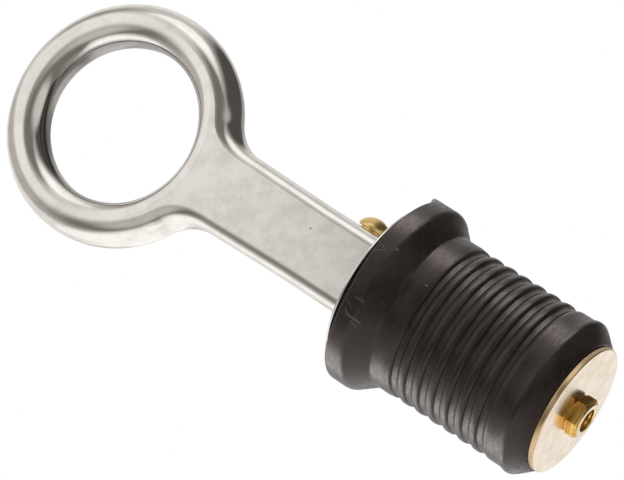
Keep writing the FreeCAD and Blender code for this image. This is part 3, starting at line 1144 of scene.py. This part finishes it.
@dataclass
class Handle:
    """The stamped handle: finger ring, flat arm, turned edges and two cam flanges.

    Heights are measured from the pin, and widths from the middle of the arm.

    Attributes:
        flank: The height up to which the arm keeps its low width.
        channel: The depth of the channel behind the flat face.
        cam_low: How far the cam reaches down when the handle is upright.
        cam_rise: How much further it reaches for each radian of the fold.
        heel: The radius of the flange's upper back corner.
        sweep: The radius of the hollow from there up to the arm.
        sweep_end: The height up to which the outline is finely divided.
        support: The width of the flat strip along each bend.
    """

    arm_low: float = 6.2 * MM
    arm_high: float = 6.5 * MM
    flank: float = 6.0 * MM
    fillet: float = 6.5 * MM
    hole: float = 12.15 * MM
    sheet: float = 1.1 * MM
    arm_bend: Point = (1.84 * MM, 1.84 * MM)
    ring_bend: Point = (3.32 * MM, 2.75 * MM)
    hole_bend: Point = (3.00 * MM, 2.1 * MM)
    neck_bend: Point = (2.1 * MM, 2.1 * MM)
    channel: float = 3.9 * MM
    cam_low: float = 5.7 * MM
    cam_rise: float = 1.9 * MM
    heel_flat: float = 1.2 * MM
    heel: float = 4.5 * MM
    sweep: float = 9.0 * MM
    sweep_end: float = 16.2 * MM
    pin_hole: float = 1.5 * MM
    soft_edge: float = 0.16 * MM
    support: float = 0.04 * MM
    bend_steps: int = 9
    wall_steps: int = 3
    fillet_steps: int = 16
    arc_steps: int = 56
    nick: Place = (1.36 * MM, -4.2 * MM, 19.7 * MM)

    def measure(self, pin_height: float) -> None:
        """Takes the handle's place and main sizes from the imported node.

        Args:
            pin_height: The height of the pin's axis.
        """
        low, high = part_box("handle")
        self.pin_height = pin_height
        self.middle = (low.x + high.x) / 2
        self.front = low.y
        self.ring = (high.x - low.x) / 2
        self.ring_centre = high.z - pin_height - self.ring
        self.back = self.front + self.channel
        self.heel_top = self.cam_rise + self.heel_flat

    def flange_back(self, height: float) -> float:
        """How far back the flange reaches at a height above its cam.

        Args:
            height: The height over the pin.

        Returns:
            The place along Y of its back edge.
        """
        heel_y = self.cam_low + self.cam_rise * math.pi / 2
        both = self.heel + self.sweep
        cosine = 1 - (heel_y - self.back) / both
        sine = math.sqrt(1 - cosine**2)
        meet = self.heel_top + self.heel * sine
        arm_start = self.heel_top + both * sine
        if height <= self.heel_top:
            return heel_y
        if height <= meet:
            return heel_y - self.heel + math.sqrt(self.heel**2 - (height - self.heel_top) ** 2)
        if height < arm_start:
            return self.back + self.sweep - math.sqrt(self.sweep**2 - (arm_start - height) ** 2)
        return self.back

    def cam(self, turn: float) -> Point:
        """The point of the cam that touches the washer after a turn of the handle.

        Args:
            turn: The fold, in radians.

        Returns:
            Its place along Y and its height.
        """
        lift = self.cam_low + self.cam_rise * turn
        return (lift * math.sin(turn) + self.cam_rise * math.cos(turn),
                -lift * math.cos(turn) + self.cam_rise * math.sin(turn))

    def side_stations(self) -> list[Station]:
        """The outline from the foot up one side to the crown of the ring."""
        straight = Vector((1, 0))
        stations = []
        for n in range(13):
            back, height = self.cam(math.pi / 2 * n / 12)
            stations.append(Station(self.arm_low, height, straight, self.arm_bend, back))
        reach = self.arm_high + self.fillet
        drop = math.sqrt((self.ring + self.fillet) ** 2 - reach**2)
        turn = self.ring_centre - drop
        lean = math.atan2(drop, reach)
        stops = ((self.heel_top, self.flank, range(7)),
                 (self.flank, self.sweep_end, range(1, 17)),
                 (self.sweep_end, turn, range(1, 8)))
        heights = [low + (high - low) * n / steps[-1] for low, high, steps in stops for n in steps]
        for height in heights:
            share = max(0.0, (height - self.flank) / (turn - self.flank))
            across = self.arm_low + (self.arm_high - self.arm_low) * share
            back = self.flange_back(height)
            stations.append(Station(across, height, straight, self.arm_bend, back))
        for n in range(1, self.fillet_steps + 1):
            share = n / self.fillet_steps
            angle = math.pi - lean * share
            point = Vector((math.cos(angle), math.sin(angle)))
            bend = blended(self.arm_bend, self.ring_bend, share)
            stations.append(Station(reach + self.fillet * point.x, turn + self.fillet * point.y,
                                    -point, bend, self.back))
        for n in range(1, self.arc_steps + 1):
            angle = -lean + (math.pi / 2 + lean) * n / self.arc_steps
            point = Vector((math.cos(angle), math.sin(angle)))
            stations.append(Station(self.ring * point.x, self.ring_centre + self.ring * point.y,
                                    point, self.ring_bend, self.back))
        return stations

    def outline(self) -> list[Station]:
        """The whole outline, up one side, round the ring and down the other side."""
        right = self.side_stations()
        left = [s._replace(across=-s.across, outward=Vector((-s.outward.x, s.outward.y)))
                for s in reversed(right[:-1])]
        return right + left

    def hole_stations(self) -> list[Station]:
        """The edge of the finger hole, once round from the arm's side."""
        steps = 2 * self.arc_steps + 20
        stations = []
        for n in range(steps + 1):
            turn = math.tau * n / steps
            point = Vector((math.sin(turn), -math.cos(turn)))
            share = (math.degrees(min(turn, math.tau - turn)) - 25) / 35
            bend = blended(self.neck_bend, self.hole_bend, share)
            stations.append(Station(self.hole * point.x, self.ring_centre + self.hole * point.y,
                                    -point, bend, self.back))
        return stations

    def bent_wall(self, station: Station, row: int) -> Vector:
        """A point of the turned edge, from the flat face to the back edge.

        Args:
            station: The place on the outline.
            row: 0 lies in the flat face, and the last one on the back edge.

        Returns:
            The point in the frame.
        """
        reach, deep = station.bend
        if row == 0:
            inset, depth = reach + self.support, 0.0
        elif row <= self.bend_steps + 1:
            turn = math.pi / 2 * (row - 1) / self.bend_steps
            inset, depth = reach * (1 - math.sin(turn)), deep * (1 - math.cos(turn))
        else:
            share = (row - self.bend_steps - 1) / self.wall_steps
            inset, depth = 0.0, deep + (station.back - self.front - deep) * share
        return Vector((self.middle + station.across - inset * station.outward.x,
                       self.front + depth,
                       self.pin_height + station.height - inset * station.outward.y))

    def wall(self, name: str, stations: Sequence[Station]) -> bpy.types.Object:
        """One turned edge as an open sheet, with its row in the flat face marked.

        Args:
            name: The new object's name.
            stations: The places that it runs through.

        Returns:
            The sheet.
        """
        count = len(stations)
        sheet = start(name, bpy.ops.mesh.primitive_grid_add, x_subdivisions=count - 1,
                      y_subdivisions=self.bend_steps + self.wall_steps + 1)
        for index, vertex in enumerate(sheet.data.vertices):
            vertex.co = self.bent_wall(stations[index % count], index // count)
        rim = sheet.vertex_groups.new(name="rim")
        rim.add(list(range(count)), 1.0, "REPLACE")
        return sheet

    def build(self) -> None:
        """Models the handle, dresses it and puts it on the frame."""
        piece = join(self.wall("stamped_handle", self.outline()),
                     self.wall("hole_edge", self.hole_stations()))
        edit(piece, SELECT, partial(bpy.ops.mesh.remove_doubles, threshold=WELD),
             partial(bpy.ops.mesh.select_mode, type="VERT"), DESELECT)
        foot = self.pin_height - self.cam_low
        inset = self.arm_low - self.arm_bend[0] - self.support
        for vertex in piece.data.vertices:
            across = abs(vertex.co.x - self.middle)
            off = (across - inset, vertex.co.y - self.front, vertex.co.z - foot)
            vertex.select = all(abs(gap) < WELD for gap in off)
        edit(piece, bpy.ops.mesh.edge_face_add, DESELECT, bpy.ops.object.vertex_group_select,
             partial(bpy.ops.mesh.fill, use_beauty=True), SELECT, FACE_OUT)
        largest = max(piece.data.polygons, key=lambda face: face.area)
        if largest.normal.y > 0:
            edit(piece, bpy.ops.mesh.flip_normals)
        apply_modifier(piece, "SOLIDIFY", thickness=self.sheet, offset=-1.0, use_even_offset=True)
        break_edges(piece, self.soft_edge, 50)
        drill(piece, self.pin_hole, 2 * self.arm_high, Vector((self.middle, 0, self.pin_height)))
        piece.vertex_groups.clear()
        smooth(piece, 35)
        centre = Vector((self.middle, 0, self.pin_height + self.ring_centre))
        finish = TumbledSteel(hole=centre, nick=Vector(self.nick))
        fit(piece, finish.material(), Body.HANDLE, "handle")


# Surroundings


def direction(off: float, clock: float) -> Vector:
    """A direction in the camera's own axes.

    Args:
        off: Its angle from the way back to the camera, in degrees.
        clock: Where it stands round that way, in degrees from the camera's right.

    Returns:
        The direction, of length 1.
    """
    off, clock = math.radians(off), math.radians(clock)
    return Vector((math.sin(off) * math.cos(clock), math.sin(off) * math.sin(clock),
                   math.cos(off)))


@dataclass(frozen=True)
class Card:
    """A soft round patch of the surroundings that metal and rubber mirror.

    Attributes:
        off: Its angle from the way back to the camera, in degrees.
        clock: Where it stands round that way, in degrees from the camera's right.
        spin: How far it is turned in its own plane, in degrees.
        half_width: Sine of half the angle that it is wide.
        half_length: Sine of half the angle that it is long, outwards where it isn't spun.
        fade: How far its edge fades either way, as a sine.
        level: Its brightness.
    """

    off: float
    clock: float
    spin: float
    half_width: float
    half_length: float
    fade: float
    level: float

    def axes(self) -> Matrix:
        """Its sideways, long and outward directions, in the camera's own axes."""
        towards = direction(self.off, self.clock)
        spin = math.radians(self.spin)
        long = (math.cos(spin) * direction(self.off + 90, self.clock)
                + math.sin(spin) * direction(90, self.clock + 90))
        return Matrix((long.cross(towards), long, towards)).transposed()


def unlit(level: float) -> Colour:
    """The colour of a patch of the room, which is warmer the darker it is.

    Args:
        level: Its brightness.

    Returns:
        Its colour.
    """
    cool = min(level, 1.0)
    return (level, level * (0.94 + 0.06 * cool), level * (0.86 + 0.14 * cool))


# A program's least-squares fit to the shine in the photograph gave 17 of these 18 rows,
# and the level around them. Three of the 17 were then changed, and the row at
# 160 degrees is listed apart from that fit.
CARDS = (
    Card(74, 82, -56, 0.83, 0.50, 0.11, 0.66),
    Card(86, 10, -15, 0.84, 0.95, 0.11, 0.09),
    Card(94, 263, -48, 0.94, 0.70, 0.02, 1.20),
    Card(79, 168, -16, 0.75, 0.46, 0.03, 0.96),
    Card(91, 181, -29, 0.33, 0.81, 0.11, 0.52),
    Card(67, 94, 11, 0.26, 0.33, 0.10, 1.23),
    Card(107, 121, 43, 0.19, 0.35, 0.11, 0.39),
    Card(3, 102, 108, 0.74, 0.45, 0.04, 0.20),
    Card(19, 170, 29, 0.35, 0.77, 0.11, 0.20),
    Card(31, 172, 105, 0.20, 0.30, 0.11, 0.59),
    Card(27, 28, -43, 0.28, 0.47, 0.11, 0.69),
    Card(107, 320, -71, 0.95, 0.48, 0.11, 0.49),
    Card(67, 285, -159, 0.24, 0.31, 0.11, 1.02),
    Card(58, 117, -33, 0.07, 0.22, 0.05, 0.76),
    Card(160, 240, 0, 0.20, 0.20, 0.10, 0.72),
    Card(73, 92, -11, 0.20, 0.13, 0.10, 1.1),
    Card(123, 235, -19, 0.19, 0.24, 0.11, 0.97),
    Card(137, 326, -4, 0.27, 0.31, 0.10, 1.02),
)


@dataclass(frozen=True)
class SoftLamp:
    """A near rectangular lamp, whose shine lies along one side of the rubber alone.

    Attributes:
        name: The lamp's name.
        shines_on: The place that mirrors its middle to the camera.
        off: Its angle there from the way back to the camera, in degrees.
        clock: Where it stands round that way, in degrees from the camera's right.
        size: How wide it is round the object and how long it is along it.
        level: Its brightness, on the scale of the cards.
    """

    name: str
    shines_on: Place
    off: float
    clock: float
    size: Point
    level: float
    distance: float = 250 * MM

    def hang(self, axes: Matrix, shines_in: bpy.types.Collection) -> None:
        """Hangs the lamp up and turns it to the object.

        Args:
            axes: The camera's own axes in the frame.
            shines_in: The collection of the objects that it lights.
        """
        towards = axes @ direction(self.off, self.clock)
        side = Vector(Axis.PLUG.value).cross(towards).normalized()
        up = towards.cross(side)
        lamp = start(self.name, bpy.ops.object.light_add, type="AREA")
        lamp.data.shape = "RECTANGLE"
        lamp.data.size, lamp.data.size_y = self.size
        lamp.data.energy = self.level * math.pi * self.size[0] * self.size[1]
        lamp.location = Vector(self.shines_on) + towards * self.distance
        lamp.rotation_euler = Matrix((side, up, towards)).transposed().to_euler()
        lamp.light_linking.receiver_collection = shines_in


LAMPS = (
    SoftLamp("left_lamp", (-9.9 * MM, -7.0 * MM, -10 * MM), 119, 227, (150 * MM, 190 * MM), 2.7),
    SoftLamp("right_lamp", (7.4 * MM, -9.6 * MM, -10 * MM), 91, 79, (120 * MM, 190 * MM), 3.7),
)


@dataclass
class Studio:
    """Camera, floor and surroundings of the photograph."""

    nearest: float = 0.01
    floor_height: float = -0.6
    floor_side: float = 12.0
    floor_colour: Colour = (0.9, 0.9, 0.9)
    around: float = 0.91

    def camera(self) -> Matrix:
        """Stands the camera where the photograph was taken from.

        Returns:
            The camera's own axes in the frame.
        """
        camera = start("camera", bpy.ops.object.camera_add)
        camera.data.lens = VIEW.lens
        camera.data.sensor_width = VIEW.sensor
        camera.data.clip_start = self.nearest
        camera.location = VIEW.eye()
        camera.rotation_mode = "QUATERNION"
        camera.rotation_quaternion = VIEW.turn()
        bpy.context.scene.camera = camera
        return camera.rotation_quaternion.to_matrix()

    def floor(self) -> None:
        """Lays the pale floor, far under the object."""
        floor = start("floor", bpy.ops.mesh.primitive_plane_add, size=self.floor_side,
                      location=(0, 0, self.floor_height))
        shader = Shader("pale_floor")
        floor.data.materials.append(
            shader.finish(Base_Color=rgba(self.floor_colour), Roughness=0.8))
        floor.visible_glossy = False
        floor.visible_transmission = False

    def surroundings(self, axes: Matrix) -> None:
        """Sets the world: white to the camera, and soft cards to what mirrors it.

        Args:
            axes: The camera's own axes in the frame, which the cards are placed by.
        """
        world = bpy.data.worlds.new("studio")
        world.use_nodes = True
        bpy.context.scene.world = world
        nodes = Nodes(world.node_tree, "Generated")
        shown: object = rgba(unlit(self.around))
        for card in CARDS:
            turn = (axes @ card.axes()).to_euler()
            laid = nodes.node("Mapping", {"vector_type": "TEXTURE"}, Vector=nodes.place,
                              Rotation=turn, Scale=(card.half_width, card.half_length, 1))
            split = nodes.node("SeparateXYZ", Vector=laid.outputs["Vector"])
            squares = [nodes.math("MULTIPLY", split.outputs[n], split.outputs[n]) for n in (0, 1)]
            reach = nodes.math("SQRT", nodes.math("ADD", *squares))
            fade = card.fade / min(card.half_width, card.half_length)
            inside = nodes.ramp(reach, 1 - fade, 1 + fade, 1, 0)
            facing = nodes.ramp(split.outputs[2], -0.06, 0.06, 0, 1)
            cover = nodes.math("MULTIPLY", inside, facing)
            shown = nodes.mix(cover, shown, rgba(unlit(card.level)))
        mirrored = nodes.tree.nodes["Background"]
        nodes.feed(mirrored.inputs["Color"], shown)
        seen = nodes.node("Background", Color=rgba((1, 1, 1)), Strength=1.0)
        path = nodes.node("LightPath")
        both = nodes.node("MixShader")
        chosen = (path.outputs["Is Camera Ray"], mirrored.outputs[0], seen.outputs[0])
        for socket, value in zip(both.inputs, chosen):
            nodes.feed(socket, value)
        nodes.feed(nodes.tree.nodes["World Output"].inputs["Surface"], both.outputs[0])

    def build(self) -> None:
        """Sets the studio up."""
        axes = self.camera()
        self.floor()
        self.surroundings(axes)
        lit = bpy.data.collections.new("lit_by_lamps")
        lit.objects.link(bpy.data.objects["rubber"])
        for lamp in LAMPS:
            lamp.hang(axes, lit)
        bpy.context.scene.view_settings.view_transform = "Standard"
        LOG.info("the studio is set with %d cards", len(CARDS))


def hinge_height(frame: dict) -> float:
    """The height of the handle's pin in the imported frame."""
    fold = next(joint for joint in frame["joints"] if joint["name"] == "handle_fold")
    return fold["pos_m"][2]


def main() -> None:
    logging.basicConfig(level=logging.INFO, format="%(message)s")
    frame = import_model()
    pin_height = hinge_height(frame)

    milled = Brass("nut_brass", (0.98, 0.68, 0.22), (0.80, 0.46, 0.10), (0.16, 0.28), 1.2 * MM,
                   edge=(0.90, 0.83, 0.62), edge_from=29.17 * MM, edge_along=(0, 0, 1),
                   turning=0.24 * MM)
    plain = Brass("stud_brass", (0.60, 0.38, 0.13), (0.50, 0.30, 0.10), (0.25, 0.40))
    riveted = Brass("pin_brass", (0.80, 0.58, 0.24), (0.74, 0.50, 0.18), (0.30, 0.36), 4 * MM)
    sheet = Brass("washer_brass", (0.89, 0.76, 0.62), (0.83, 0.70, 0.55), (0.20, 0.30), 2.2 * MM,
                  edge=(0.60, 0.42, 0.24), edge_from=9.97 * MM)
    rim = TumbledSteel("washer_steel")

    RubberPlug().build()
    Washer("upper_washer", "top_washer", Body.PLUG, Slot.STAINLESS, rim, hole=2.3 * MM,
           edge=0.12 * MM, thickness=0.37 * MM).build()
    Washer("brass_washer", "end_washer", Body.STUD, Slot.BRASS, sheet, hole=1.9 * MM,
           edge=0.14 * MM, thickness=0.9 * MM).build()
    LockNut().build(milled)
    EyeStud().build(plain, pin_height)
    handle = Handle()
    handle.measure(pin_height)
    PivotPin().build(riveted, pin_height, handle.middle, handle.arm_low)
    handle.build()
    Studio().build()


if __name__ == "__main__":
    main()
